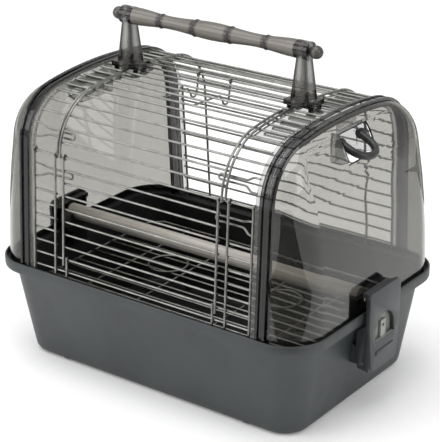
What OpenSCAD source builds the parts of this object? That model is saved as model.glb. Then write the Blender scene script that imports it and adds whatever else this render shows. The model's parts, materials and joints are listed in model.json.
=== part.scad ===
// Bird travel carrier: a deep tray, two smoked end caps and a wire cage between them.
// X runs along the length, the front door faces -Y, Z is up and the tray stands on z = 0.
// The origin is the middle of the footprint.

/* [Tray] */
// Overall length over the rim
rim_len = 350; // [330:1:380]
// Overall width over the rim
rim_wid = 238; // [225:1:255]
// Plan radius of the rim corners
rim_corner = 38; // [32:1:39]
// Height of the rim crest
rim_z = 99; // [90:1:115]
// Length of the flat base
base_len = 304; // [285:1:315]
// Width of the flat base
base_wid = 193; // [180:1:205]
// Plan radius of the base corners
base_corner = 24; // [18:1:32]
// Wall thickness of the tray
tray_wall = 2.2; // [1.6:0.1:3]

/* [Cage arch] */
// Gap between the rim edge and the wires
arch_gap = 4; // [3.7:0.1:5]
// Inward lean of the arch legs, in degrees
arch_lean = 3.4; // [2:0.2:5]
// Height of the straight legs above the rim
leg_h = 115; // [105:1:130]
// Radius of the arch shoulders
shoulder_r = 50; // [45:1:55]
// Slope of the roof where it meets the shoulders, in degrees
roof_slope = 8.4; // [7:0.2:10]

/* [Wires] */
// Diameter of the upright wires and hoops
hoop_d = 2.2; // [1.8:0.1:2.5]
// Diameter of the thin row wires
row_d = 1.9; // [1.5:0.1:2.2]
// Spacing of the row wires
row_pitch = 12; // [11:0.5:13]
// Distance from the middle to the inner uprights of the fixed front
post_x = 94.5; // [90:0.5:98]
// Step inwards from those uprights to the fixed hoops
hoop_gap = 3; // [2.8:0.1:3.5]
// Step inwards from the fixed hoops to the hatch hoops
hatch_gap = 3.5; // [3:0.1:4.5]
// Step inwards from the hatch hoops to the side wires of the door
door_gap = 3.5; // [3:0.1:5]

/* [Ring frames] */
// Distance from the middle to the inner edge of a ring
ring_x = 121; // [118:1:124]
// Width of a ring along the length
ring_w = 15; // [12:1:18]

/* [End caps] */
// Wall thickness of the clear caps
cap_wall = 2; // [1.5:0.1:2.6]
// Gap between the rim edge and the end face
cap_gap = 3.5; // [3:0.1:4.5]

/* [Handle] */
// Height of the grip axis above the roof
grip_rise = 48.7; // [44:0.5:60]
// Radius of the grip at its ends
grip_end_r = 8; // [7:0.1:9]
// Radius of the grip at its waists
grip_waist_r = 5.8; // [5:0.1:6.6]

/* [Latches] */
// Drop from the rim crest to the latch pivot
latch_drop = 49; // [45:1:55]
// Half width of the latch plate
latch_half = 24; // [22:0.5:27]

/* [Perch and floor] */
// Diameter of the perch
perch_d = 15; // [12:0.5:18]
// Height of the perch axis above the ledge
perch_rise = 16; // [14:1:24]
// Height of the floor grille wires
floor_z = 68; // [55:1:75]
// Spacing of the floor grille wires
floor_pitch = 13; // [11:0.5:16]

/* [Hidden] */
$fn = 48;

smoke = [0.52, 0.52, 0.50, 0.62];
wire_grey = [0.72, 0.72, 0.70];
slate = [0.31, 0.32, 0.33];

// Rim section, measured from the outer edge of the rim
rim_x = rim_len/2;
ledge_z = rim_z - 5;
flange_z = rim_z - 9.5;
lip_t = 2.2;
flange_w = 9.5;
base_fillet = 8;

// Arch geometry: legs, shoulder arcs round c1 and a shallow roof arc round c2
arch_half = rim_wid/2 - arch_gap;
shoulder_z = rim_z + leg_h;
c1 = [arch_half - tan(arch_lean)*(shoulder_z - rim_z) - shoulder_r*cos(arch_lean),
      shoulder_z - shoulder_r*sin(arch_lean)];
roof_join = c1 + shoulder_r*[sin(roof_slope), cos(roof_slope)];
roof_r = roof_join[0]/sin(roof_slope);
c2 = [0, roof_join[1] - roof_r*cos(roof_slope)];
roof_top = c2[1] + roof_r;

// Positions along the length
ring_out_x = ring_x + ring_w;
edge_x = ring_x - 1.5;
hoop_x = post_x - hoop_gap;
hatch_x = hoop_x - hatch_gap;
door_x = hatch_x - door_gap;
sill_x = door_x - 3.2;
catch_end = door_x - 6;
cap_x = rim_x - cap_gap;
handle_x = hoop_x + 3.5;
latch_x = rim_x - 1;
latch_z = rim_z - latch_drop;

// Depths below the arch line; the moving frames stand a little proud of the fixed wires
hoop_r = hoop_d/2;
row_r = row_d/2;
weld = 0.4;
row_in = hoop_r + row_r - weld;
proud = weld + 0.3;
catch_in = row_in + 2*row_r + 1.7;
plate_in = row_in + row_r + 0.4;
plate_t = 2;

// Row wires: leg heights, shoulder angles and steps across the roof
row_z = rim_z + 4;
leg_rows = 1 + floor((shoulder_z - 2 - row_z)/row_pitch);
hinge_row = leg_rows - 1;
shoulder_rows = [15, 29.5, 44, 58.5];
hatch_row = -2;
hatch_y = hatch_row*row_pitch;
roof_end = floor((c1[0] + shoulder_r*cos(58.5) - 8)/row_pitch);
front_split = hatch_y - row_pitch/2;
rear_split = 37;
curl_r = row_r + hoop_r + 0.08;
bead_r = hoop_r + 0.25;

// Handle, strap loop and hanger
grip_z = roof_top + grip_rise;
grip_half = 88;
rod_r = 2.4;
knob_r = 5.8;
foot_z = roof_top + hoop_r + 0.05;
peg_x = [handle_x - 10.5, handle_x + 11.5];
peg_y = 6;
screw_r = 1.2;
plate_top = roof_top - plate_in;
pin_r = 1.5;
loop_x = ring_out_x + 7.2;
loop_z = roof_top - 20.3;
loop_half = 14.8;
loop_bar = 3.4;
loop_droop = 25;
perch_y = -12;
perch_z = ledge_z + perch_rise;
perch_half = rim_x - 11;
hanger_x = -17;
hanger_half = 18;
hanger_row = 2;

// Point on the right half of the arch at a height on the leg, with inset d
function leg_pt(z, d = 0) = [arch_half - tan(arch_lean)*(z - rim_z) - d/cos(arch_lean), z];
// Point on the shoulder at an angle above horizontal
function shoulder_pt(a, d = 0) = c1 + (shoulder_r - d)*[cos(a), sin(a)];
// Point on the roof at a distance y from the middle
function roof_pt(y, d = 0) = let (r = roof_r - d) [y, c2[1] + sqrt(r*r - y*y)];
// Point on the roof or the upper shoulder above y
function top_pt(y, d = 0) =
    abs(y) < roof_join[0] ? roof_pt(abs(y), d)
    : let (r = shoulder_r - d, u = abs(y) - c1[0]) [abs(y), c1[1] + sqrt(r*r - u*u)];
function unit(v) = v/norm(v);

module mirror_x(side) {
    scale([side, 1, 1]) children();
}

// Filled outline under the arch, inset by d and cut off at height z0
module arch_2d(d, z0) {
    foot = leg_pt(z0, d);
    knee = shoulder_pt(arch_lean, d);
    join = shoulder_pt(90 - roof_slope, d);
    polygon([[-foot[0], z0], [-knee[0], knee[1]], -[c1[0], -c1[1]], [-join[0], join[1]],
             join, c1, knee, foot]);
    for (s = [-1, 1]) translate([s*c1[0], c1[1]]) circle(shoulder_r - d, $fn = 96);
    intersection() {
        translate(c2) circle(roof_r - d, $fn = 360);
        polygon([[-join[0], join[1] - 20], [-join[0], join[1]], [-join[0] - 2, join[1] + 40],
                 [join[0] + 2, join[1] + 40], join, [join[0], join[1] - 20]]);
    }
}

// Band that follows the arch between two insets and two X positions
module arch_band(d0, d1, x0, x1, z0) {
    translate([x0, 0, 0]) rotate([90, 0, 90]) linear_extrude(x1 - x0) difference() {
        arch_2d(d0, z0);
        translate([0, -1]) arch_2d(d1, z0);
        arch_2d(d1, z0);
    }
}

// Straight wire along X through the point p = [y, z]
module x_wire(p, x0, x1, r) {
    translate([x0, p[0], p[1]]) rotate([0, 90, 0]) cylinder(r = r, h = x1 - x0);
}

// Row wire on the front of the cage
module front_row(p, x0, x1) {
    x_wire([-p[0], p[1]], x0, x1, row_r);
}

// Wire from one point to another
module wire(a, b, r) {
    v = b - a;
    translate(a) rotate([0, acos(v[2]/norm(v)), atan2(v[1], v[0])]) cylinder(r = r, h = norm(v));
}

// Wire up one leg of the arch, side = -1 front or 1 rear
module leg_wire(x, side, z0, z1, d) {
    a = leg_pt(z0, d);
    b = leg_pt(z1, d);
    wire([x, side*a[0], z0], [x, side*b[0], z1], hoop_r);
}

// Arc of wire in a plane across X, angles measured from +Y
module arc_wire(x, c, r, a0, a1) {
    translate([x, c[0], c[1]]) rotate([90, 0, 90]) rotate([0, 0, a0])
        rotate_extrude(angle = a1 - a0, $fn = 96) translate([r, 0]) circle(hoop_r, $fn = 24);
}

// Weld bead that joins two lengths of wire, which stop just short of each other inside it
seam = 0.2;
seam_a = seam/shoulder_r*180/PI;
shoulder_end = 90 - roof_slope - seam_a;
module bead(x, p, turn = 0) {
    translate([x, p[0], p[1]]) rotate([0, 0, turn]) sphere(bead_r, $fn = 32);
}
module leg_to_shoulder(x, side, z0, a1, d) {
    p = shoulder_pt(arch_lean, d);
    leg_wire(x, side, z0, p[1] - seam, d);
    bead(x, [side*p[0], p[1]]);
    shoulder_arc(x, side, arch_lean + seam_a, a1, d);
}
module shoulder_arc(x, side, a0, a1, d) {
    if (side < 0) arc_wire(x, [-c1[0], c1[1]], shoulder_r - d, 180 - a1, 180 - a0);
    else arc_wire(x, c1, shoulder_r - d, a0, a1);
}
// Roof arc from y0 to the join with the front or rear shoulder
module roof_arc(x, side, y0, d) {
    h = seam/roof_r*180/PI;
    from = asin(-y0/roof_r);
    join = shoulder_pt(90 - roof_slope, d);
    bead(x, [side*join[0], join[1]]);
    if (side < 0) arc_wire(x, c2, roof_r - d, 90 + from, 90 + roof_slope - h);
    else arc_wire(x, c2, roof_r - d, 90 - roof_slope + h, 90 + from);
}

// Closed ring of wire round a row wire, the end curl of an upright
module curl(x, p) {
    translate([x, p[0], p[1]]) rotate([0, 90, 0])
        rotate_extrude($fn = 48) translate([curl_r, 0]) circle(hoop_r, $fn = 24);
}

// Tube swept along a list of points
function ring_at(p, t, r, n, ref) =
    let (u = unit(cross(t, ref)), v = cross(u, t))
    [for (k = [0:n - 1]) p + r*(cos(360*k/n)*u + sin(360*k/n)*v)];
function tangent(path, i) =
    unit(path[min(i + 1, len(path) - 1)] - path[max(i - 1, 0)]);
module tube(path, r, ref = [0.31, 0.83, 0.46], n = 10) {
    m = len(path);
    pts = [for (i = [0:m - 1]) each ring_at(path[i], tangent(path, i), r, n, unit(ref))];
    sides = [for (i = [0:m - 2], k = [0:n - 1])
        [i*n + k, i*n + (k + 1)%n, (i + 1)*n + (k + 1)%n, (i + 1)*n + k]];
    ends = [[for (k = [n - 1:-1:0]) k], [for (k = [0:n - 1]) (m - 1)*n + k]];
    polyhedron(pts, concat(sides, ends));
}

// Points of a circular bend round c from angle a0 to a1 in the plane of u and v
function bend(c, r, u, v, a0, a1, n) =
    [for (k = [0:n]) let (a = a0 + (a1 - a0)*k/n) c + r*(cos(a)*u + sin(a)*v)];

// Rounded rectangle ring of points, counter-clockwise
corner_n = 8;
function plan_ring(hx, hy, r, z) = [
    for (q = [0:3], k = [0:corner_n])
        let (a = 90*q + 90*k/corner_n, sx = (q == 0 || q == 3) ? 1 : -1, sy = q < 2 ? 1 : -1)
        [sx*(hx - r) + r*cos(a), sy*(hy - r) + r*sin(a), z]
];

// Skin over plan rings that run round a wall section and close on the first ring
module wall_skin(rings) {
    n = len(rings[0]);
    m = len(rings);
    polyhedron([for (g = rings) each g], [for (i = [0:m - 1], k = [0:n - 1]) let (j = (i + 1)%m)
        [i*n + k, j*n + k, j*n + (k + 1)%n, i*n + (k + 1)%n]]);
}

// Outer tray wall at height z, moved in by d
function wall_x(z) = base_len/2 + (rim_x - flange_w - base_len/2)*z/flange_z;
function wall_y(z) = base_wid/2 + (rim_wid/2 - flange_w - base_wid/2)*z/flange_z;
function wall_ring(z, d) =
    let (r = base_corner + (rim_corner - flange_w + 1 - base_corner)*z/flange_z)
    plan_ring(wall_x(z) - d, wall_y(z) - d, r - d*0.8, z);
function rim_ring(d, z) = plan_ring(rim_x - d, rim_wid/2 - d, rim_corner - d, z);
function with_z(ring, z) = [for (p = ring) [p[0], p[1], z]];

module tray_shell() {
    outer = [for (k = [0:4]) let (a = 22.5*k, d = base_fillet*(1 - sin(a)), z = base_fillet*(1 - cos(a)))
        with_z(wall_ring(base_fillet, d), z)];
    inner = [for (k = [4:-1:0]) let (a = 22.5*k, r = base_fillet - tray_wall,
                                     d = tray_wall + r*(1 - sin(a)), z = tray_wall + r*(1 - cos(a)))
        with_z(wall_ring(base_fillet, d), z)];
    rim = [
        wall_ring(flange_z - 2, 0), wall_ring(flange_z, -0.6),
        rim_ring(lip_t + 0.6, flange_z), rim_ring(0.4, flange_z - 0.4), rim_ring(0, flange_z + 0.6),
        rim_ring(0, rim_z - 1), rim_ring(0.5, rim_z - 0.2), rim_ring(1.1, rim_z),
        rim_ring(1.7, rim_z - 0.2), rim_ring(lip_t, rim_z - 1), rim_ring(lip_t, ledge_z),
        rim_ring(flange_w + tray_wall - 1, ledge_z), rim_ring(flange_w + tray_wall, ledge_z - 1),
        with_z(wall_ring(flange_z, tray_wall), flange_z - 2)
    ];
    wall_skin(concat(outer, rim, inner));
}

// Flat bottom of the tray, inside the rounded foot of the walls
module tray_floor() {
    color(slate) linear_extrude(tray_wall)
        polygon([for (p = wall_ring(base_fillet, base_fillet + 0.05)) [p[0], p[1]]]);
}

// Tray walls with lugs for the latch pivots and four rests for the floor grille
rest_x = 103;
module tray() {
    rest_y = wall_y(base_fillet) - base_fillet + 0.2;
    low = latch_z - 4;
    high = latch_z + 16;
    color(slate) {
        difference() {
            union() {
                tray_shell();
                for (s = [-1, 1], t = [-1, 1]) mirror_x(s) translate([0, t*14 + 4, 0])
                    rotate([90, 0, 0]) linear_extrude(8) polygon([
                        [wall_x(low) - 1, low], [latch_x + 2.5, low], [latch_x + 3.5, latch_z - 3],
                        [latch_x + 3.5, latch_z + 3], [latch_x - 2, latch_z + 5], [wall_x(high) - 1, high]]);
            }
            for (s = [-1, 1]) translate([s*latch_x, 0, latch_z]) rotate([90, 0, 0])
                cylinder(r = pin_r + 0.05, h = 60, center = true);
        }
        for (x = [-rest_x, rest_x], s = [-1, 1]) translate([x - 3, s*(rest_y + 3) - 3, tray_wall - 0.2])
            cube([6, 6, floor_z - row_in - hoop_r - tray_wall + 0.2]);
    }
}

// Floor grille with a wire frame, long rows on cross wires and two finger loops
module floor_grille() {
    hx = wall_x(floor_z) - tray_wall - 10.5;
    hy = wall_y(floor_z) - tray_wall - 6;
    frame_r = 12;
    bar_z = floor_z - row_in;
    rows = floor((hy - frame_r)/floor_pitch);
    color(wire_grey) {
        for (k = [-rows:rows]) x_wire([k*floor_pitch, floor_z], -hx - 0.6, hx + 0.6, row_r);
        for (x = [-rest_x, -44, 44, rest_x])
            translate([x, -hy, bar_z]) rotate([-90, 0, 0]) cylinder(r = hoop_r - 0.12, h = 2*hy);
        for (s = [-1, 1]) {
            translate([seam + frame_r - hx, s*hy, bar_z]) rotate([0, 90, 0])
                cylinder(r = hoop_r, h = 2*(hx - frame_r - seam));
            translate([s*hx, seam + frame_r - hy, bar_z]) rotate([-90, 0, 0])
                cylinder(r = hoop_r, h = 2*(hy - frame_r - seam));
        }
        for (sx = [-1, 1], sy = [-1, 1]) {
            wire([sx*hx, sy*(hy - frame_r), bar_z], [sx*(hx - frame_r), sy*hy, bar_z], hoop_r);
            bead(sx*hx, [sy*(hy - frame_r), bar_z], 90 - 90*sx);
            bead(sx*(hx - frame_r), [sy*hy, bar_z], 90*sy);
        }
        for (x = [-66, 66]) translate([x, floor_pitch, floor_z + 2*row_r - weld])
            rotate_extrude($fn = 96) translate([19, 0]) circle(row_r, $fn = 24);
    }
}

// Cap skin: ribs leave the ring plane, turn through a corner and end on the sloping end face
face_h = roof_top - rim_z - 6.3;
face_root = ring_out_x - 1;
function face_x(z) = face_root + (cap_x - face_root)*sqrt(max(0, 1 - pow(max(0, z - rim_z)/face_h, 2)));
// Stations along half of the arch: point, inward direction and corner depth
cap_legs = 5;
cap_turns = 12;
cap_roof = 4;
function cap_station(i) =
    i <= cap_legs ?
        let (t = i/cap_legs, z = ledge_z + (shoulder_z - 4 - ledge_z)*t)
        [leg_pt(z), [-1, 0], 36 - 6*t]
    : i <= cap_legs + cap_turns ?
        let (t = (i - cap_legs - 1)/(cap_turns - 1), a = arch_lean + (90 - roof_slope - arch_lean)*t)
        [shoulder_pt(a), -[cos(a), sin(a)], 30 - 22*(1 - cos(180*t))/2]
    : let (t = (i - cap_legs - cap_turns)/cap_roof, a = 90 - roof_slope*(1 - t),
           p = c2 + roof_r*[cos(a), sin(a)])
        [p, -[cos(a), sin(a)], 8];
cap_half_n = cap_legs + cap_turns + cap_roof;
function cap_arch(j) = j <= cap_half_n ? [cap_station(j), 1] : [cap_station(2*cap_half_n - j), -1];
cap_edge_in = 1;
rib_n = 8;
function cap_pt(j, k, t) =
    let (q = cap_arch(j), s = q[0], depth = s[2], a = 90*k/rib_n,
         inset = cap_edge_in + t + (depth - t)*(1 - cos(a)),
         end = s[0] + s[1]*(cap_edge_in + depth), run = face_x(end[1]) - ring_out_x,
         p = s[0] + s[1]*inset)
    [ring_out_x + (run - t)*sin(a), q[1]*p[0], p[1]];
module cap_skin() {
    m = 2*cap_half_n + 1;
    w = rib_n + 1;
    size = m*w;
    pts = [for (t = [0, cap_wall], j = [0:m - 1], k = [0:rib_n]) cap_pt(j, k, t)];
    ribs = [for (j = [0:m - 2], k = [0:rib_n - 1]) [j*w + k, j*w + k + 1, (j + 1)*w + k + 1, (j + 1)*w + k]];
    face = [for (j = [0:cap_half_n - 1]) let (o = m - 1 - j)
        j == cap_half_n - 1 ? [j*w + rib_n, o*w + rib_n, (j + 1)*w + rib_n]
        : [j*w + rib_n, o*w + rib_n, (o - 1)*w + rib_n, (j + 1)*w + rib_n]];
    skin = concat(ribs, face);
    inside = [for (f = skin) [for (i = [len(f) - 1:-1:0]) f[i] + size]];
    edge = concat([for (j = [0:m - 1]) j*w], [for (k = [1:rib_n]) (m - 1)*w + k],
                  [for (k = [rib_n:-1:1]) k]);
    n = len(edge);
    rim = [for (i = [0:n - 1]) let (a = edge[i], b = edge[(i + 1)%n]) [a, b, b + size, a + size]];
    polyhedron(pts, concat(skin, inside, rim));
}

// Clear cap with a window for the strap loop and a keeper for the latch hook
keeper_z = rim_z + 13;
window_lo = loop_z - 15;
window_hi = loop_z + 9;
window_half = 22;
module end_cap(side) {
    color(smoke) mirror_x(side) {
        difference() {
            cap_skin();
            translate([ring_out_x - 6, -window_half - 0.5, window_lo])
                cube([60, 2*window_half + 1, window_hi - window_lo]);
        }
        translate([cap_x - cap_wall, -17, keeper_z - 8]) cube([cap_wall + 1.5, 34, 8]);
    }
}

// Ring frame: a flange that takes the wire ends, two ridges and a slotted plate under the roof wires
plate_x = hatch_x + 2.6;
plate_half = 68;
module ring_frame(side) {
    color([0.30, 0.30, 0.29, 0.85]) mirror_x(side) difference() {
        union() {
            arch_band(0, row_in + row_r + 0.8, ring_x, ring_out_x, ledge_z);
            arch_band(0.5, 6.5, ring_x + 2, ring_x + 4.4, ledge_z);
            arch_band(0.5, 6.5, ring_out_x - 2.4, ring_out_x, ledge_z);
            arch_band(-1.6, 1, ring_x + 5, ring_x + 7.4, rim_z + 0.6);
            arch_band(-1.6, 1, ring_out_x - 2.6, ring_out_x - 0.2, rim_z + 0.6);
            intersection() {
                arch_band(plate_in, plate_in + plate_t, handle_x - 14, ring_x + 3, ledge_z);
                union() {
                    translate([plate_x, -plate_half, roof_top - 40]) cube([60, 2*plate_half, 60]);
                    translate([handle_x - 15, -15, roof_top - 40]) cube([60, 30, 60]);
                }
            }
            for (s = [-1, 1]) {
                for (k = [0:hinge_row]) let (p = leg_pt(row_z + k*row_pitch, 1))
                    x_wire([s*p[0], p[1]], ring_x, ring_x + 4.5, 1.5);
                for (a = shoulder_rows) let (p = shoulder_pt(a, 1))
                    x_wire([s*p[0], p[1]], ring_x, ring_x + 4.5, 1.5);
            }
        }
        for (k = [2:5], s = [-1, 1]) translate([plate_x + 6, s*k*row_pitch - 2, roof_top - 40])
            cube([21, 4, 60]);
        for (x = peg_x, s = [-1, 1]) translate([x, s*peg_y, roof_top - 40])
            cylinder(r = screw_r + 0.3, h = 60);
    }
}

// Low frame under the doorway
module front_sill() {
    color(wire_grey) {
        for (s = [-1, 1]) leg_wire(s*sill_x, -1, ledge_z, row_z + 1.25*row_pitch, 0);
        for (k = [0, 1]) front_row(leg_pt(row_z + k*row_pitch, row_in), -sill_x - hoop_r, sill_x + hoop_r);
    }
}

// Fixed wires beside the doorway; the second row reaches behind the door and stops it
module front_column(side) {
    color(wire_grey) mirror_x(side) {
        for (x = [edge_x, post_x]) {
            leg_wire(x, -1, ledge_z, row_z + hinge_row*row_pitch, 0);
            let (p = leg_pt(row_z + hinge_row*row_pitch, row_in)) curl(x, [-p[0], p[1]]);
        }
        for (k = [0:hinge_row]) if (k < hinge_row - 2 || k == hinge_row)
            let (inner = k == 0 ? sill_x + hoop_r + 0.1 : k == 1 ? door_x
                       : k == hinge_row ? hoop_x - hoop_r : post_x - hoop_r)
            front_row(leg_pt(row_z + k*row_pitch, row_in), inner, ring_x);
    }
}

// Front part of a fixed hoop with the short rows between it and the ring
module hoop_grille(side) {
    color(wire_grey) mirror_x(side) {
        leg_to_shoulder(hoop_x, -1, row_z + hinge_row*row_pitch + 1.2, shoulder_end, 0);
        roof_arc(hoop_x, -1, front_split - 0.1, 0);
        for (a = [44, 58.5]) front_row(shoulder_pt(a, row_in), hoop_x - hoop_r - 0.5, ring_x);
        for (k = [3:roof_end]) front_row(top_pt(k*row_pitch, row_in), hoop_x - hoop_r - 0.5, ring_x);
    }
}

// Roof behind the hatch hinge, with the two hoops
module roof_grille() {
    color(wire_grey) {
        for (k = [hatch_row:roof_end]) let (p = top_pt(k*row_pitch, row_in))
            x_wire([k*row_pitch, p[1]], -ring_x, ring_x, row_r);
        for (a = [44, 58.5]) x_wire(shoulder_pt(a, row_in), -ring_x, ring_x, row_r);
        for (s = [-1, 1]) {
            roof_arc(s*hoop_x, 1, front_split + 0.1, 0);
            shoulder_arc(s*hoop_x, 1, rear_split + 0.2, shoulder_end, 0);
        }
    }
}

// Rear wall
module rear_grille() {
    color(wire_grey) {
        for (k = [0:hinge_row]) x_wire(leg_pt(row_z + k*row_pitch, row_in), -ring_x, ring_x, row_r);
        for (a = [15, 29.5]) x_wire(shoulder_pt(a, row_in), -ring_x, ring_x, row_r);
        for (s = [-1, 1]) {
            leg_wire(s*edge_x, 1, ledge_z, row_z + hinge_row*row_pitch + 2, 0);
            leg_to_shoulder(s*hoop_x, 1, ledge_z, rear_split - 0.2, 0);
        }
    }
}

// Curved panel hinged on the roof, its lowest row carries the front door
module roof_hatch() {
    hinge = roof_pt(abs(hatch_y), row_in);
    low = row_z + hinge_row*row_pitch;
    color(wire_grey) {
        for (s = [-1, 1]) {
            leg_to_shoulder(s*hatch_x, -1, low - 1, shoulder_end, -proud);
            roof_arc(s*hatch_x, -1, hatch_y, -proud);
            curl(s*hatch_x, [hatch_y, hinge[1]]);
        }
        front_row(leg_pt(low, row_in - proud), -hatch_x - hoop_r, hatch_x + hoop_r);
        for (a = shoulder_rows)
            front_row(shoulder_pt(a, row_in - proud), -hatch_x - hoop_r, hatch_x + hoop_r);
        for (k = [3:roof_end])
            front_row(top_pt(k*row_pitch, row_in - proud), -hatch_x - hoop_r, hatch_x + hoop_r);
    }
}

// Flat door that hangs from the lowest row of the hatch
module front_door() {
    low = row_z + hinge_row*row_pitch;
    color(wire_grey) {
        for (s = [-1, 1]) {
            leg_wire(s*door_x, -1, row_z + 0.6*row_pitch, low - 1.4, -proud);
            let (p = leg_pt(low, row_in - proud)) curl(s*door_x, [-p[0], p[1]]);
        }
        for (k = [2:hinge_row - 1])
            front_row(leg_pt(row_z + k*row_pitch, row_in - proud), -door_x - hoop_r, door_x + hoop_r);
    }
}

// Sprung hairpin: two rows leave the ring, draw together and close behind the moving frame
function swerve(from, to, k) = let (t = (1 - cos(45*k))/2) from*(1 - t) + to*t + [-5 - 2.6*k, 0, 0];
function catch_path(a, b, c, d) =
    let (mid = (c + d)/2, half = norm(c - d)/2, v = unit(c - d))
    concat([a, a + [-5, 0, 0]], [for (k = [1:4]) swerve(a, c, k)], [[door_x + 4, c[1], c[2]]],
           bend([catch_end + half, mid[1], mid[2]], half, [0, v[1], v[2]], [-1, 0, 0], 0, 180, 8),
           [[door_x + 4, d[1], d[2]]], [for (k = [4:-1:1]) swerve(b, d, k)], [b + [-5, 0, 0], b]);
function at_ring(p) = [ring_x, -p[0], p[1]];
module hatch_catch(side) {
    color(wire_grey) mirror_x(side)
        tube(catch_path(at_ring(shoulder_pt(29.5, row_in)), at_ring(shoulder_pt(15, row_in)),
                        at_ring(shoulder_pt(25.6, catch_in)), at_ring(shoulder_pt(19.4, catch_in))), row_r);
}
module door_catch(side) {
    a = row_z + (hinge_row - 1)*row_pitch;
    b = a - row_pitch;
    mid = (a + b)/2;
    color(wire_grey) mirror_x(side)
        tube(catch_path(at_ring(leg_pt(a, row_in)), at_ring(leg_pt(b, row_in)),
                        at_ring(leg_pt(mid + 2.6, catch_in)), at_ring(leg_pt(mid - 2.6, catch_in))), row_r);
}

// Grip with two waists and four ring beads, hollow for the rod
function grip_r(x) =
    let (u = abs(x), waist = 47.5)
    u < waist ? grip_waist_r + (8.1 - grip_waist_r)*(1 + cos(180*u/waist))/2
    : grip_waist_r + (grip_end_r - grip_waist_r)*(1 - cos(180*(u - waist)/(grip_half - waist)))/2;
module handle_grip() {
    color(smoke) translate([0, 0, grip_z]) rotate([0, 90, 0]) {
        rotate_extrude($fn = 48) polygon(concat(
            [[rod_r + 0.1, -grip_half]],
            [for (x = [-grip_half:8:grip_half]) [grip_r(x), x]],
            [[rod_r + 0.1, grip_half]]));
        for (x = [-57, -19, 19, 57]) translate([0, 0, x])
            rotate_extrude($fn = 48) translate([grip_r(x) - 0.6, 0]) circle(1.3, $fn = 24);
    }
}

module handle_rod() {
    color("silver") translate([-handle_x - 9, 0, grip_z]) rotate([0, 90, 0])
        cylinder(r = rod_r, h = 2*handle_x + 18);
}

// Post: foot on the roof hoops with pegs down to the ring plate, ribbed column and an eye for the rod
module handle_post(side) {
    foot_top = foot_z + 4.5;
    column = grip_z - foot_top;
    color(smoke) mirror_x(side) difference() {
        union() {
            translate([handle_x - 14, -10.5, foot_z]) cube([28, 21, 4.5]);
            hull() {
                translate([handle_x - 8.5, -8, foot_top - 0.5]) cube([17, 16, 1]);
                translate([handle_x - 4.6, -5, grip_z - 5]) cube([9.2, 10, 1]);
            }
            translate([handle_x - 6.8, 0, grip_z]) rotate([0, 90, 0]) cylinder(r = 8.2, h = 13.6);
            for (x = peg_x, s = [-1, 1]) translate([x, s*peg_y, plate_top + 0.1])
                cylinder(r = 2.4, h = foot_z - plate_top + 1);
        }
        translate([handle_x - 20, 0, grip_z]) rotate([0, 90, 0]) cylinder(r = rod_r + 0.05, h = 40);
        for (s = [-1, 1]) translate([handle_x, s*8, foot_top + 2]) rotate([90 - s*3.4, 0, 0])
            linear_extrude(4, center = true)
                polygon([[-6, 0], [6, 0], [2.6, column - 11], [-2.6, column - 11]]);
        for (x = peg_x, s = [-1, 1]) translate([x, s*peg_y, plate_top - 1])
            cylinder(r = screw_r + 0.05, h = 9);
    }
}

module handle_knob(side) {
    color(smoke) mirror_x(side) difference() {
        union() {
            translate([handle_x + 6.8, 0, grip_z]) rotate([0, 90, 0]) cylinder(r = 4, h = 4);
            translate([handle_x + 12.2, 0, grip_z]) sphere(knob_r, $fn = 48);
        }
        translate([handle_x, 0, grip_z]) rotate([0, 90, 0]) cylinder(r = rod_r + 0.05, h = 9.1);
        translate([handle_x + 3.8, -10, grip_z - 10]) cube([3, 20, 20]);
    }
}

module handle_screws(side) {
    head_z = plate_top - plate_t - 0.2;
    color("silver") mirror_x(side) for (x = peg_x, s = [-1, 1]) translate([x, s*peg_y, head_z]) {
        translate([0, 0, -1.6]) cylinder(r = 4.4, h = 1.6);
        cylinder(r = screw_r, h = 8.5);
    }
}

// Swing latch: window plate, two cheeks on the pivot and a hook over the keeper of the cap
module latch(side) {
    face = rim_x + 4.6;
    top = rim_z + 20;
    waist = rim_z - 13;
    window_z = rim_z - 19.5;
    sill_z = latch_z + 20.5;
    color(slate) mirror_x(side) difference() {
        union() {
            translate([face, 0, 0]) rotate([90, 0, 90]) linear_extrude(3.2) polygon([
                [-latch_half + 7, latch_z - 7], [latch_half - 7, latch_z - 7], [latch_half - 3, latch_z - 3],
                [latch_half + 1, waist], [latch_half + 1, top - 4], [latch_half - 3, top],
                [-latch_half + 3, top], [-latch_half - 1, top - 4], [-latch_half - 1, waist],
                [-latch_half + 3, latch_z - 3]]);
            for (s = [-1, 1]) translate([0, s*(latch_half - 3.5) + 1.5, 0])
                rotate([90, 0, 0]) linear_extrude(3)
                polygon([[rim_x - 5.5, latch_z - 5], [face + 1, latch_z - 7], [face + 1, top - 2],
                         [rim_x + 1.6, top - 2], [rim_x + 1.6, flange_z - 2.5], [rim_x - 7, flange_z - 9.5],
                         [rim_x - 8, latch_z + 10]]);
            translate([cap_x + 0.2, -20, keeper_z + 0.3]) cube([face + 1 - cap_x - 0.2, 40, 4]);
            translate([face + 2.4, -14, latch_z + 7]) cube([1.8, 28, 4]);
        }
        intersection() {
            translate([face - 5, 0, window_z]) rotate([0, 90, 0]) cylinder(r = 15, h = 12);
            translate([face - 6, -20, sill_z]) cube([14, 40, 30]);
        }
        translate([face - 5, 0, 0]) rotate([90, 0, 90]) linear_extrude(12)
            polygon([[-15, window_z], [-16, sill_z], [16, sill_z], [15, window_z]]);
        translate([latch_x, 0, latch_z]) rotate([90, 0, 0]) cylinder(r = pin_r + 0.05, h = 80, center = true);
    }
    color(slate) mirror_x(side) difference() {
        translate([face - 0.8, -4, sill_z - 1]) cube([2.4, 8, window_z - sill_z + 8]);
        translate([face - 2, 0, window_z + 2]) rotate([0, 90, 0]) cylinder(r = 1.6, h = 6);
    }
}

module latch_pin(side) {
    color("silver") mirror_x(side) translate([latch_x, 0, latch_z])
        rotate([90, 0, 0]) cylinder(r = pin_r, h = 2*latch_half - 4, center = true);
}

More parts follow.
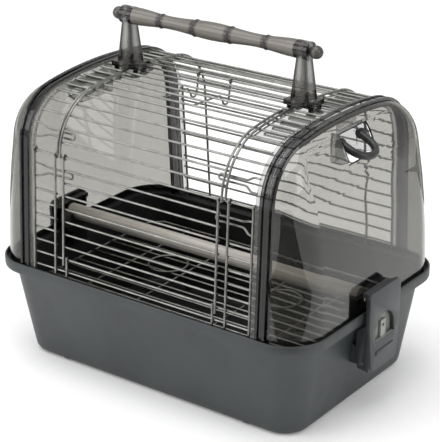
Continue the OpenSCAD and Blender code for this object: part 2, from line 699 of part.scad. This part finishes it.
// Pocket behind the opening of the cap, with side walls that carry the strap loop
module strap_bracket(side) {
    x0 = ring_out_x;
    color([0.12, 0.12, 0.12]) mirror_x(side) difference() {
        union() {
            translate([x0, -window_half, window_lo - 2]) cube([2.4, 2*window_half, 18]);
            translate([x0, -14, window_lo + 14]) cube([2.4, 28, roof_top - 5 - window_lo - 14]);
            for (s = [-1, 1]) translate([0, s*(window_half - 1.7) + 1.7, 0])
                rotate([90, 0, 0]) linear_extrude(3.4)
                polygon([[x0, window_lo - 2], [x0, window_hi - 0.5], [x0 + 7, window_hi - 0.5],
                         [face_x(window_lo + 2) - 1, window_lo + 2], [face_x(window_lo) - 4, window_lo + 0.4],
                         [x0 + 10, window_lo - 2]]);
        }
        translate([loop_x, 0, loop_z]) rotate([90, 0, 0]) cylinder(r = 2.05, h = 60, center = true);
    }
}

// Shackle for a shoulder strap, turning on its two stub ends
module strap_loop(side) {
    color([0.14, 0.14, 0.15]) mirror_x(side) translate([loop_x, 0, loop_z]) {
        for (s = [-1, 1]) translate([0, s*13.4, 0]) rotate([s*-90, 0, 0]) {
            cylinder(r = 4.2, h = 4.8);
            cylinder(r = 2, h = 8.2);
        }
        rotate([0, loop_droop, 0]) {
            for (s = [-1, 1]) translate([0, s*loop_half, 0]) rotate([0, 90, 0]) cylinder(r = loop_bar, h = 9);
            translate([9, 0, 0]) rotate([0, 0, -90])
                rotate_extrude(angle = 180, $fn = 96) translate([loop_half, 0]) circle(loop_bar, $fn = 32);
        }
    }
}

module perch() {
    color([0.72, 0.70, 0.66]) translate([-perch_half, perch_y, perch_z]) rotate([0, 90, 0])
        cylinder(r = perch_d/2, h = 2*perch_half, $fn = 64);
}

// Saddle that stands on the ledge of the tray and steps down inside its wall
module perch_holder(side) {
    x0 = rim_x - 20;
    color([0.1, 0.1, 0.1]) mirror_x(side) difference() {
        union() {
            translate([x0, perch_y - perch_d/2 - 5, ledge_z]) cube([13, perch_d + 10, perch_rise + 1]);
            translate([x0, perch_y - 17, ledge_z]) cube([7, 34, 6]);
            translate([x0, perch_y - 10, ledge_z - 16]) cube([5, 20, 17]);
        }
        translate([x0 - 5, perch_y, perch_z]) rotate([0, 90, 0])
            cylinder(r = perch_d/2 + 0.05, h = 14, $fn = 64);
        translate([x0 - 5, perch_y - perch_d/2 - 0.05, perch_z]) cube([14, perch_d + 0.1, 20]);
    }
}

// Bent wire bail that hooks on a roof wire, with two arms for treats
module treat_hanger() {
    hanger_y = hanger_row*row_pitch;
    hook = top_pt(hanger_y, row_in)[1];
    eye_r = 2*row_r + 0.08;
    arm = hook - 10;
    low = hook - 20;
    color(wire_grey) {
        for (s = [-1, 1]) let (x = hanger_x + s*hanger_half, y = hanger_y) {
            translate([x, y, hook]) rotate([0, 90, 0])
                rotate_extrude($fn = 48) translate([eye_r, 0]) circle(row_r, $fn = 24);
            tube([[x, y - 0.6, hook - eye_r], [x, y - 3, low + 6], [x, y - 4, low + 2], [x, y - 6, low],
                  [x, y - 9, low], [x, y - 12, low + 2], [x, y - 13.4, low + 6], [x, y - 15, arm - 2],
                  [x, y - 17, arm], [x, y - 20, arm + 0.6], [x, y - 56, arm + 2]],
                 row_r, [1, 0, 0]);
        }
        x_wire([hanger_y - 1.6, hook - eye_r - 6], hanger_x - hanger_half, hanger_x + hanger_half, row_r);
    }
}

tray();
tray_floor();
floor_grille();
end_cap(-1);  // left_end_cap
end_cap(1);  // right_end_cap
ring_frame(-1);  // left_ring_frame
ring_frame(1);  // right_ring_frame
front_sill();
front_column(-1);  // front_column_left
front_column(1);  // front_column_right
hoop_grille(-1);  // left_hoop_grille
hoop_grille(1);  // right_hoop_grille
roof_grille();
rear_grille();
roof_hatch();
front_door();
hatch_catch(-1);  // hatch_catch_left
hatch_catch(1);  // hatch_catch_right
door_catch(-1);  // door_catch_left
door_catch(1);  // door_catch_right
handle_grip();
handle_rod();
handle_post(-1);  // handle_post_left
handle_post(1);  // handle_post_right
handle_knob(-1);  // handle_knob_left
handle_knob(1);  // handle_knob_right
handle_screws(-1);  // handle_screws_left
handle_screws(1);  // handle_screws_right
latch(-1);  // latch_left
latch(1);  // latch_right
latch_pin(-1);  // latch_pin_left
latch_pin(1);  // latch_pin_right
strap_bracket(-1);  // strap_bracket_left
strap_bracket(1);  // strap_bracket_right
strap_loop(-1);  // strap_loop_left
strap_loop(1);  // strap_loop_right
perch();
perch_holder(-1);  // perch_holder_left
perch_holder(1);  // perch_holder_right
treat_hanger();
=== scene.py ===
import json
import math
import bpy
from mathutils import Matrix, Vector


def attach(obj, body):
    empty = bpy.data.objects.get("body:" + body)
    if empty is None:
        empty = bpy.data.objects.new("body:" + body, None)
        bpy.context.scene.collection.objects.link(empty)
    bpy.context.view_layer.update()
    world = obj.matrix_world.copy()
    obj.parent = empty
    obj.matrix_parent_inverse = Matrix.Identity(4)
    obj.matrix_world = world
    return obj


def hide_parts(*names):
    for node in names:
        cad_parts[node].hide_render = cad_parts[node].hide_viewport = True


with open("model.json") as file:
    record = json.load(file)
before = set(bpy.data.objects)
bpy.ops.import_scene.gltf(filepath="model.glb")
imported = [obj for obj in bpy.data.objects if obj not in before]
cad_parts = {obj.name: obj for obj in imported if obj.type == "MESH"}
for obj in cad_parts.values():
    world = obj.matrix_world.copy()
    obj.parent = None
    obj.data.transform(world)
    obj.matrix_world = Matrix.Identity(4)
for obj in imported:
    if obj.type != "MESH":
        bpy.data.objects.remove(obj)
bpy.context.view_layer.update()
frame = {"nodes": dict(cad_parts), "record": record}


# The view. The photographer stood right of the front corner and a little above the roof, with a
# long lens and an almost level horizon, so the camera stands there, and its small shift puts the
# carrier where it lies in the picture.
azimuth, elevation, roll = (math.radians(v) for v in (36.63, 22.78, -0.38))
aim = Vector((0, 0, 0.1355))
distance = 1.4988
focal_pixels, picture_pixels, sensor_mm = 1636.4, 442, 36
off_centre_pixels = (4.97, -1.05)
right = Vector((math.cos(azimuth), math.sin(azimuth), 0))
back = Vector((math.sin(azimuth) * math.cos(elevation), -math.cos(azimuth) * math.cos(elevation),
               math.sin(elevation)))
up = back.cross(right)
level_right = right * math.cos(roll) + up * math.sin(roll)
level_up = up * math.cos(roll) - right * math.sin(roll)
bpy.ops.object.camera_add()
camera = bpy.context.object
camera.matrix_world = Matrix((level_right, level_up, back)).transposed().to_4x4()
camera.location = aim + back * distance
camera.data.lens = focal_pixels / picture_pixels * sensor_mm
camera.data.shift_x, camera.data.shift_y = (pixels / picture_pixels for pixels in off_centre_pixels)
camera.data.clip_end = 20
bpy.context.scene.camera = camera


# Tray. A deep injection-moulded ABS tub with a turned rim, satin dark grey, which shows as a soft
# broad sheen with a fine spark-eroded grain. The inside is polished less, and its shade is painted
# into its colour, near black, so it reads almost black through the wires.
def paint(hex_colour):
    """The linear colour of an sRGB hex value."""
    channels = [int(hex_colour[i:i + 2], 16) / 255 for i in (0, 2, 4)]
    linear = [c / 12.92 if c <= 0.04045 else ((c + 0.055) / 1.055) ** 2.4 for c in channels]
    return (*linear, 1.0)


def add_node(finish, kind, settings=None, links=None, stops=()):
    """Adds a shader node. Settings go to its sockets or properties, links to its sockets by name or
    number, and stops to its colour ramp."""
    node = finish.node_tree.nodes.new(kind)
    for name, value in (settings or {}).items():
        if name in node.inputs:
            node.inputs[name].default_value = value
        else:
            setattr(node, name, value)
    for name, source in (links or {}).items():
        finish.node_tree.links.new(source, node.inputs[name])
    for at, (position, colour) in enumerate(stops):
        marks = node.color_ramp.elements
        mark = marks[at] if at < len(marks) else marks.new(position)
        mark.position = position
        mark.color = paint(colour) if isinstance(colour, str) else (colour, colour, colour, 1)
    return node


def start_finish(name, **settings):
    """A new material, its shader, and the place on the piece in metres that its patterns follow."""
    finish = bpy.data.materials.new(name)
    finish.use_nodes = True
    shader = finish.node_tree.nodes["Principled BSDF"]
    for socket, value in settings.items():
        shader.inputs[socket.replace("_", " ")].default_value = value
    return finish, shader, add_node(finish, "ShaderNodeTexCoord").outputs["Object"]


def feed(finish, shader, **sources):
    """Links sources to the shader's sockets, whose names are written with _ for a space."""
    for socket, source in sources.items():
        finish.node_tree.links.new(source, shader.inputs[socket.replace("_", " ")])


def mottle(finish, place, size_mm, dark, light):
    """A tint that wanders between two colours in patches of the given size."""
    patches = add_node(finish, "ShaderNodeTexNoise", {"Scale": 1000 / size_mm, "Detail": 3.0},
                       {"Vector": place})
    return add_node(finish, "ShaderNodeValToRGB", links={"Fac": patches.outputs["Fac"]},
                    stops=((0.35, dark), (0.65, light))).outputs["Color"]


def drift(finish, place, size_mm, low, high):
    """An uneven gloss, rougher and smoother in patches."""
    patches = add_node(finish, "ShaderNodeTexNoise", {"Scale": 1000 / size_mm, "Detail": 2.0},
                       {"Vector": place})
    return add_node(finish, "ShaderNodeMapRange", {"To Min": low, "To Max": high},
                    {"Value": patches.outputs["Fac"]}).outputs["Result"]


def relief(finish, place, size_mm, height_mm):
    """The fine waves or grain that a mould or a tool leaves, drawn coarse enough to show."""
    grain = add_node(finish, "ShaderNodeTexNoise", {"Scale": 1000 / size_mm, "Detail": 2.0},
                     {"Vector": place})
    return add_node(finish, "ShaderNodeBump", {"Distance": height_mm / 1000},
                    {"Height": grain.outputs["Fac"]}).outputs["Normal"]


nodes = frame["nodes"]
bodies = frame["record"]["behaviour"]["bodies"]
body_of_node = {node: body for body, members in bodies.items() for node in members}


def finished(node, finish, edge_mm=0.0, sharp=30):
    """A copy of a solid, its triangles merged, its edges rounded, and shaded smooth where two faces
    meet at less than the sharp angle in degrees."""
    weld, flat_degrees = 0.000004, 0.6
    piece = bpy.data.objects.new(node + "_moulded", nodes[node].data.copy())
    bpy.context.scene.collection.objects.link(piece)
    bpy.ops.object.select_all(action="DESELECT")
    bpy.context.view_layer.objects.active = piece
    piece.select_set(True)
    bpy.ops.object.mode_set(mode="EDIT")
    bpy.ops.mesh.select_all(action="SELECT")
    bpy.ops.mesh.remove_doubles(threshold=weld)
    bpy.ops.mesh.customdata_custom_splitnormals_clear()
    if edge_mm:
        bpy.ops.mesh.dissolve_limited(angle_limit=math.radians(flat_degrees))
    bpy.ops.object.mode_set(mode="OBJECT")
    piece.data.materials.clear()
    piece.data.materials.append(finish)
    if edge_mm:
        bevel = piece.modifiers.new("tool radius", "BEVEL")
        bevel.width = edge_mm / 1000
        bevel.segments = 2
        bevel.angle_limit = math.radians(sharp)
        bevel.miter_outer = "MITER_ARC"
        bpy.ops.object.modifier_apply(modifier=bevel.name)
    bpy.ops.object.shade_smooth_by_angle(angle=math.radians(sharp))
    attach(piece, body_of_node[node])
    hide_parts(node)
    return piece


def second_finish(piece, finish, chosen):
    """Gives another material to the faces that are chosen by their middle and their direction."""
    piece.data.materials.append(finish)
    for face in piece.data.polygons:
        if chosen(face.center, face.normal):
            face.material_index = 1


satin_abs, shader, place = start_finish("satin grey ABS, moulded", IOR=1.52)
feed(satin_abs, shader, Base_Color=mottle(satin_abs, place, 60, "313536", "383c3d"),
     Roughness=drift(satin_abs, place, 14, 0.42, 0.54), Normal=relief(satin_abs, place, 1.6, 0.05))
# The inside is a copy of the same ABS, painted much darker: a painted shade.
inside_painted_shade_abs, shader, place = start_finish("satin grey ABS, inside painted in shade", IOR=1.52)
feed(inside_painted_shade_abs, shader, Base_Color=mottle(inside_painted_shade_abs, place, 60, "131415", "191a1b"),
     Roughness=drift(inside_painted_shade_abs, place, 14, 0.5, 0.62), Normal=relief(inside_painted_shade_abs, place, 1.6, 0.05))
# The tray floor takes the painted shade all over.
finished("tray_floor", inside_painted_shade_abs, sharp=32)
tray = finished("tray", satin_abs, sharp=38)
underside, lip_top, tilt = 0.001, 0.0975, 0.35


def painted_shade_inside_tray(middle, normal):
    """Below the lip, and looking towards the middle or up, where the shade is painted."""
    inwards = Vector((-middle.x, -middle.y, tilt))
    return underside < middle.z < lip_top and normal.dot(inwards) > 0


# The faces inside the tray take the painted shade.
second_finish(tray, inside_painted_shade_abs, painted_shade_inside_tray)


# Wires. Rows of cold-drawn steel wire spot welded to hoops, then bright zinc plated as whole
# grilles, and the rod, the screws and the pins plated like them. The plating gives a cool light
# grey metal with a slightly uneven gloss.
zinc, shader, place = start_finish("bright zinc plated steel wire", Metallic=1.0)
feed(zinc, shader, Base_Color=mottle(zinc, place, 9, "7c7c79", "969692"),
     Roughness=drift(zinc, place, 5, 0.24, 0.36), Normal=relief(zinc, place, 3, 0.02))
for row in frame["record"]["subparts"]:
    if row["material_slot"] in ("wire", "steel"):
        finished(row["node"], zinc, sharp=35)


# End caps. Thin shells of smoke-tinted clear polystyrene, moulded in a polished tool and set
# over the ring frames. The sheet darkens what lies behind it, bends it at the rounded corners,
# mirrors the room as a pale veil and looks darkest where it is seen edge on.
smoked, shader, place = start_finish("smoked clear polystyrene sheet", IOR=1.5,
                                     Transmission_Weight=1.0)
slant = add_node(smoked, "ShaderNodeLayerWeight", {"Blend": 0.5}).outputs["Facing"]
tint = add_node(smoked, "ShaderNodeValToRGB", links={"Fac": slant},
                stops=((0.35, "a7a6a0"), (0.7, "93928c"), (0.8, "7c7a74"),
                       (0.93, "3c3b38"))).outputs["Color"]
feed(smoked, shader, Base_Color=tint, Roughness=drift(smoked, place, 30, 0.015, 0.04))
for node in ("left_end_cap", "right_end_cap"):
    finished(node, smoked, sharp=40)
# The pocket behind each strap loop is a moulding of its own. Its flat walls are thin and pass most
# of the light, and its rims, seen through their depth, show as dark lines.
pocket_clear, shader, place = start_finish("smoked clear polystyrene, pocket", IOR=1.5, Alpha=0.3)
feed(pocket_clear, shader, Base_Color=mottle(pocket_clear, place, 30, "5d5c58", "686762"),
     Roughness=drift(pocket_clear, place, 30, 0.03, 0.06))
dark_edge, shader, place = start_finish("smoked clear polystyrene, edges", IOR=1.5, Alpha=0.85)
feed(dark_edge, shader, Base_Color=mottle(dark_edge, place, 20, "1b1b1a", "282826"),
     Roughness=drift(dark_edge, place, 30, 0.08, 0.16))
wall_inner, rim_turn = 0.0184, 0.5


def rim_of_pocket(middle, normal):
    """On a side wall, and looking neither left nor right."""
    return abs(middle.y) > wall_inner and abs(normal.y) < rim_turn


for node in ("strap_bracket_left", "strap_bracket_right"):
    second_finish(finished(node, pocket_clear), dark_edge, rim_of_pocket)


# Ring frames. Arches of the same smoked polystyrene, moulded thick, that take the ends of the wires.
# The flange and the slotted roof plate let some light through, and the two raised ribs are deep
# enough to look black.
ring_clear, shader, place = start_finish("smoked clear polystyrene, thick", IOR=1.5)
parted = add_node(ring_clear, "ShaderNodeSeparateXYZ", links={"Vector": place})
off_centre = add_node(ring_clear, "ShaderNodeMath", {"operation": "ABSOLUTE"},
                      {0: parted.outputs["X"]}).outputs["Value"]
ring_inner, ring_outer = 0.120, 0.136
across = add_node(ring_clear, "ShaderNodeMapRange", {"From Min": ring_inner, "From Max": ring_outer},
                  {"Value": off_centre}).outputs["Result"]
# The gap between the ribs is dark, and where it is held opaque on the legs it is painted shade.
tint = add_node(ring_clear, "ShaderNodeValToRGB", links={"Fac": across},
                stops=((0.0, "8c8c87"), (0.34, "7a7a75"), (0.38, "0b0b0b"), (0.60, "101010"),
                       (0.64, "20201f"), (0.84, "1c1c1b"), (0.88, "0e0e0e"))).outputs["Color"]
# How much of the light is held back, from the flange to the outer rib. On the front legs the gap
# between the ribs is held nearly opaque and dark, a painted shade for the gap that their height hides,
# and over the roof and behind it stays clear.
over_leg_painted_shade = add_node(ring_clear, "ShaderNodeValToRGB", links={"Fac": across},
                    stops=((0.0, 0.34), (0.34, 0.36), (0.38, 0.9), (0.64, 0.9), (0.84, 0.8),
                           (0.88, 0.92))).outputs["Color"]
over_roof = add_node(ring_clear, "ShaderNodeValToRGB", links={"Fac": across},
                     stops=((0.0, 0.26), (0.34, 0.3), (0.38, 0.9), (0.60, 0.9), (0.64, 0.12),
                            (0.84, 0.14), (0.88, 0.92))).outputs["Color"]
front_leg, roof_start = -0.112, -0.085
roofward = add_node(ring_clear, "ShaderNodeMapRange", {"From Min": front_leg, "From Max": roof_start},
                    {"Value": parted.outputs["Y"]}).outputs["Result"]
# A mix of two colours takes its factor and its colours at these sockets, by number.
mix_factor, mix_first, mix_second, mix_result = 0, 6, 7, 2
# The front legs take the painted shade in the gap, and the roof does not.
cover = add_node(ring_clear, "ShaderNodeMix", {"data_type": "RGBA"},
                 {mix_factor: roofward, mix_first: over_leg_painted_shade, mix_second: over_roof}).outputs[mix_result]
feed(ring_clear, shader, Base_Color=tint, Alpha=cover,
     Roughness=drift(ring_clear, place, 25, 0.05, 0.1))
plate_edge, plate_reach = 0.1205, 0.1


def edge_of_plate(middle, normal):
    """On the slotted plate, and looking neither up nor down."""
    return abs(middle.x) < plate_edge and abs(middle.y) < plate_reach and abs(normal.z) < rim_turn


for node in ("left_ring_frame", "right_ring_frame"):
    second_finish(finished(node, ring_clear), dark_edge, edge_of_plate)


# Handle. Two tapered posts on screwed feet carry a rod with a waisted grip and ball ends. The posts
# are solid smoked polystyrene: clear in the middle of a face, and near black at the corners, the
# foot and the eye, where the light crosses most of it.
handle_clear, shader, place = start_finish("smoked clear polystyrene, handle", IOR=1.5)
parted = add_node(handle_clear, "ShaderNodeSeparateXYZ", links={"Vector": place})
post_x, foot_bottom, column_foot, column_head, eye_top = 0.095, 0.266, 0.271, 0.310, 0.323
shares = []
for axis, middle, foot_half, head_half in (("X", post_x, 0.0085, 0.0046), ("Y", 0.0, 0.008, 0.005)):
    outward = add_node(handle_clear, "ShaderNodeMath", {"operation": "ABSOLUTE"},
                       {0: parted.outputs[axis]}).outputs["Value"]
    beside = add_node(handle_clear, "ShaderNodeMath", {"operation": "SUBTRACT"}, {0: outward})
    beside.inputs[1].default_value = middle
    size = add_node(handle_clear, "ShaderNodeMath", {"operation": "ABSOLUTE"},
                    {0: beside.outputs["Value"]}).outputs["Value"]
    half = add_node(handle_clear, "ShaderNodeMapRange",
                    {"From Min": column_foot, "From Max": column_head, "To Min": foot_half,
                     "To Max": head_half}, {"Value": parted.outputs["Z"]}).outputs["Result"]
    shares.append(add_node(handle_clear, "ShaderNodeMath", {"operation": "DIVIDE"},
                           {0: size, 1: half}).outputs["Value"])
corner = add_node(handle_clear, "ShaderNodeMath", {"operation": "MINIMUM"},
                  {0: shares[0], 1: shares[1]}).outputs["Value"]
cover = add_node(handle_clear, "ShaderNodeValToRGB", links={"Fac": corner},
                 stops=((0.0, 0.6), (0.5, 0.66), (0.74, 0.9), (0.9, 0.95))).outputs["Color"]
tint = add_node(handle_clear, "ShaderNodeValToRGB", links={"Fac": corner},
                stops=((0.0, "a19e97"), (0.45, "7d7a74"), (0.74, "2c2b29"),
                       (0.9, "1c1c1b"))).outputs["Color"]
climb = add_node(handle_clear, "ShaderNodeMapRange", {"From Min": foot_bottom, "From Max": eye_top},
                 {"Value": parted.outputs["Z"]}).outputs["Result"]
deepen = add_node(handle_clear, "ShaderNodeValToRGB", links={"Fac": climb},
                  stops=((0.04, 0.25), (0.5, 1.0), (0.68, 0.9), (0.78, 0.3))).outputs["Color"]
graded = add_node(handle_clear, "ShaderNodeVectorMath", {"operation": "SCALE"},
                  {"Vector": tint, "Scale": deepen}).outputs["Vector"]
feed(handle_clear, shader, Base_Color=graded, Alpha=cover,
     Roughness=drift(handle_clear, place, 20, 0.05, 0.1))
for node in ("handle_post_left", "handle_post_right"):
    finished(node, handle_clear)
# The ball ends are lathe-smooth and solid, so they look like dark glass with one highlight.
knob_clear, shader, place = start_finish("smoked clear polystyrene, knobs", IOR=1.5,
                                         Transmission_Weight=0.6)
feed(knob_clear, shader, Base_Color=mottle(knob_clear, place, 24, "5a5853", "63615b"),
     Roughness=drift(knob_clear, place, 10, 0.05, 0.1))
for node in ("handle_knob_left", "handle_knob_right"):
    finished(node, knob_clear)
# The grip is a hollow sleeve in a cloudy smoke grey, with two waists and four ring beads. The beads
# are thick and show as soft dark bands, and the plastic looks darker towards the outline.
grip_smoke, shader, place = start_finish("smoked polystyrene, grip", IOR=1.5, Transmission_Weight=0.3)
lengthwise = add_node(grip_smoke, "ShaderNodeSeparateXYZ", links={"Vector": place}).outputs["X"]
off_centre = add_node(grip_smoke, "ShaderNodeMath", {"operation": "ABSOLUTE"},
                      {0: lengthwise}).outputs["Value"]
mapped_length, bead_half, bead_fade = 0.1, 0.0025, 0.005
cloudy, bead_shade = "87827a", "4b4844"
along = add_node(grip_smoke, "ShaderNodeMapRange", {"From Min": 0.0, "From Max": mapped_length},
                 {"Value": off_centre}).outputs["Result"]
bands = [(0.0, cloudy)]
for bead_x in (0.019, 0.057):
    for beside, shade in ((-bead_fade, cloudy), (-bead_half, bead_shade),
                          (bead_half, bead_shade), (bead_fade, cloudy)):
        bands.append(((bead_x + beside) / mapped_length, shade))
banded = add_node(grip_smoke, "ShaderNodeValToRGB", links={"Fac": along}, stops=bands).outputs["Color"]
slant = add_node(grip_smoke, "ShaderNodeLayerWeight", {"Blend": 0.5}).outputs["Facing"]
deepen = add_node(grip_smoke, "ShaderNodeMapRange",
                  {"From Min": 0.25, "From Max": 0.85, "To Min": 1.0, "To Max": 0.3},
                  {"Value": slant}).outputs["Result"]
graded = add_node(grip_smoke, "ShaderNodeVectorMath", {"operation": "SCALE"},
                  {"Vector": banded, "Scale": deepen}).outputs["Vector"]
feed(grip_smoke, shader, Base_Color=graded, Roughness=drift(grip_smoke, place, 20, 0.16, 0.26))
finished("handle_grip", grip_smoke)


# Latches. Swing latches moulded in slate ABS, satin with softened edges, each on a pin through two
# lugs of the tray. Behind the window of each lies a paler and slightly glossier panel, with a
# black gap at one corner where the mechanism shows.
slate_abs, shader, place = start_finish("slate ABS, moulded", IOR=1.52)
feed(slate_abs, shader, Base_Color=mottle(slate_abs, place, 30, "303335", "373a3c"),
     Roughness=drift(slate_abs, place, 10, 0.36, 0.46), Normal=relief(slate_abs, place, 1.4, 0.03))
pale_abs, shader, place = start_finish("pale grey ABS, moulded", IOR=1.52)
feed(pale_abs, shader, Base_Color=mottle(pale_abs, place, 12, "80817b", "8e8f89"),
     Roughness=drift(pale_abs, place, 8, 0.3, 0.42), Normal=relief(pale_abs, place, 1.2, 0.02))
tongue_half, tongue_low, tongue_high = 0.0042, 0.0694, 0.088
plate_back, plate_front = 0.1785, 0.1815


def tongue(middle, normal):
    """The front of the tongue that stands up in the window, as pale as the panel."""
    return (abs(middle.y) < tongue_half and tongue_low < middle.z < tongue_high
            and plate_back < abs(middle.x) < plate_front)


panel_x, panel_z, panel_notch, panel_edge = 0.178, 0.0795, 0.0075, 0.0003
panel_size = (0.001, 0.036, 0.032)
for side, name in ((-1, "left"), (1, "right")):
    second_finish(finished("latch_" + name, slate_abs, edge_mm=0.6), pale_abs, tongue)
    bpy.ops.object.select_all(action="DESELECT")
    bpy.ops.mesh.primitive_cube_add(size=1, location=(side * panel_x, 0.0, panel_z))
    panel = bpy.context.object
    panel.name = "latch_window_panel_" + name
    panel.scale = panel_size
    bpy.ops.object.transform_apply(location=True, rotation=True, scale=True)
    bpy.ops.object.mode_set(mode="EDIT")
    bpy.ops.mesh.select_mode(type="EDGE")
    bpy.ops.mesh.select_all(action="DESELECT")
    bpy.ops.object.mode_set(mode="OBJECT")
    for edge in panel.data.edges:
        ends = [panel.data.vertices[i].co for i in edge.vertices]
        edge.select = all(end.y > 0 and end.z < panel_z for end in ends)
    bpy.ops.object.mode_set(mode="EDIT")
    bpy.ops.mesh.bevel(offset=panel_notch, segments=1)
    bpy.ops.object.mode_set(mode="OBJECT")
    rounding = panel.modifiers.new("tool radius", "BEVEL")
    rounding.width = panel_edge
    rounding.segments = 2
    bpy.ops.object.modifier_apply(modifier=rounding.name)
    bpy.ops.object.shade_smooth_by_angle(angle=math.radians(30))
    panel.data.materials.append(pale_abs)
    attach(panel, "latch_" + name)


# Perch holders. Saddles moulded in black ABS that stand on the ledge of the tray and step down
# inside its wall, satin, with a fine grain and rounded rims that catch a thin line of light.
black_abs, shader, place = start_finish("black ABS, moulded", IOR=1.52)
feed(black_abs, shader, Base_Color=mottle(black_abs, place, 30, "101010", "171717"),
     Roughness=drift(black_abs, place, 10, 0.34, 0.45), Normal=relief(black_abs, place, 1.4, 0.03))
for node in ("perch_holder_left", "perch_holder_right"):
    finished(node, black_abs, edge_mm=0.5)


# Strap loops. Shackles moulded in charcoal nylon that swing in the pockets of the end caps. Nylon
# is waxier than the ABS around it and shows a broad soft highlight.
nylon, shader, place = start_finish("charcoal nylon, moulded", IOR=1.53)
feed(nylon, shader, Base_Color=mottle(nylon, place, 20, "161718", "1f2021"),
     Roughness=drift(nylon, place, 8, 0.3, 0.42), Normal=relief(nylon, place, 1.2, 0.02))
for node in ("strap_loop_left", "strap_loop_right"):
    finished(node, nylon, sharp=35)


# Perch. A turned and sanded pale dowel that lies in its two holders, greyed a little, dull, with
# its grain drawn out along the length.
dowel, shader, place = start_finish("sanded pale dowel", IOR=1.5)
drawn_out = (0.05, 1, 1)
grain = add_node(dowel, "ShaderNodeMapping", {"Scale": drawn_out}, {"Vector": place}).outputs["Vector"]
feed(dowel, shader, Base_Color=mottle(dowel, grain, 3.5, "aaa59d", "cbc6bd"),
     Roughness=drift(dowel, grain, 4, 0.34, 0.5), Normal=relief(dowel, grain, 2.2, 0.06))
finished("perch", dowel, edge_mm=1.0, sharp=40)


# Studio. A white floor, a big softbox above, one in front on the left and one on the right. The
# room is white but for the dark side where the photographer stands. Felt flags lie in front of and
# behind the carrier, and only polished faces mirror them, which keeps the clear edges dark.
bpy.ops.object.select_all(action="DESELECT")
floor_size, floor_gap = 14, 0.0002
bpy.ops.mesh.primitive_plane_add(size=floor_size, location=(0, 0, -floor_gap))
floor = bpy.context.object
floor.name = "studio_floor"
floor_paint, shader, place = start_finish("white studio floor", Roughness=0.9, Emission_Strength=0.1)
shader.inputs["Base Color"].default_value = paint("f6f6f6")
shader.inputs["Emission Color"].default_value = paint("ffffff")
floor.data.materials.append(floor_paint)

for name, spot, size, cloth, colour in (
        ("front_flag", (0.66, -0.80, 0.002), (0.75, 1.3), "black flag felt", "0d0d0d"),
        ("back_flag", (-0.55, 0.85, 0.002), (2.2, 1.3), "grey flag felt", "454545")):
    bpy.ops.mesh.primitive_plane_add(size=1, location=spot, rotation=(0, 0, azimuth))
    flag = bpy.context.object
    flag.name = name
    flag.scale = (*size, 1)
    felt, shader, place = start_finish(cloth, Roughness=1.0)
    shader.inputs["Base Color"].default_value = paint(colour)
    flag.data.materials.append(felt)
    flag.visible_camera = flag.visible_diffuse = False
    flag.visible_transmission = flag.visible_shadow = False

lit_middle = Vector((0, 0, 0.1))
for name, spot, size, power in (("top_softbox", (-0.2, -0.3, 2.2), (2.4, 1.8), 30),
                                ("front_softbox", (-1.6, -2.2, 1.4), (1.6, 1.6), 22),
                                ("right_softbox", (2.4, -0.2, 1.3), (1.2, 1.6), 14)):
    bpy.ops.object.light_add(type="AREA", location=spot)
    softbox = bpy.context.object
    softbox.name = name
    softbox.data.shape = "RECTANGLE"
    softbox.data.size, softbox.data.size_y = size
    softbox.data.energy = power
    softbox.rotation_euler = (lit_middle - Vector(spot)).to_track_quat("-Z", "Y").to_euler()

room = bpy.data.worlds.new("white studio room")
room.use_nodes = True
bpy.context.scene.world = room
direction = add_node(room, "ShaderNodeTexCoord").outputs["Generated"]
facing = add_node(room, "ShaderNodeVectorMath", {"operation": "DOT_PRODUCT"}, {0: direction})
dark_side = (0.55, -0.79, 0.26)
facing.inputs[1].default_value = dark_side
walls = add_node(room, "ShaderNodeValToRGB", links={"Fac": facing.outputs["Value"]},
                 stops=((0.80, 0.8), (0.93, 0.04))).outputs["Color"]
seen = add_node(room, "ShaderNodeLightPath").outputs["Is Camera Ray"]
either = add_node(room, "ShaderNodeMix", {"data_type": "RGBA"}, {mix_factor: seen, mix_first: walls})
either.inputs[mix_second].default_value = paint("ffffff")
background = room.node_tree.nodes["Background"]
room.node_tree.links.new(either.outputs[mix_result], background.inputs["Color"])
background.inputs["Strength"].default_value = 0.9
bpy.context.scene.view_settings.view_transform = "Standard"
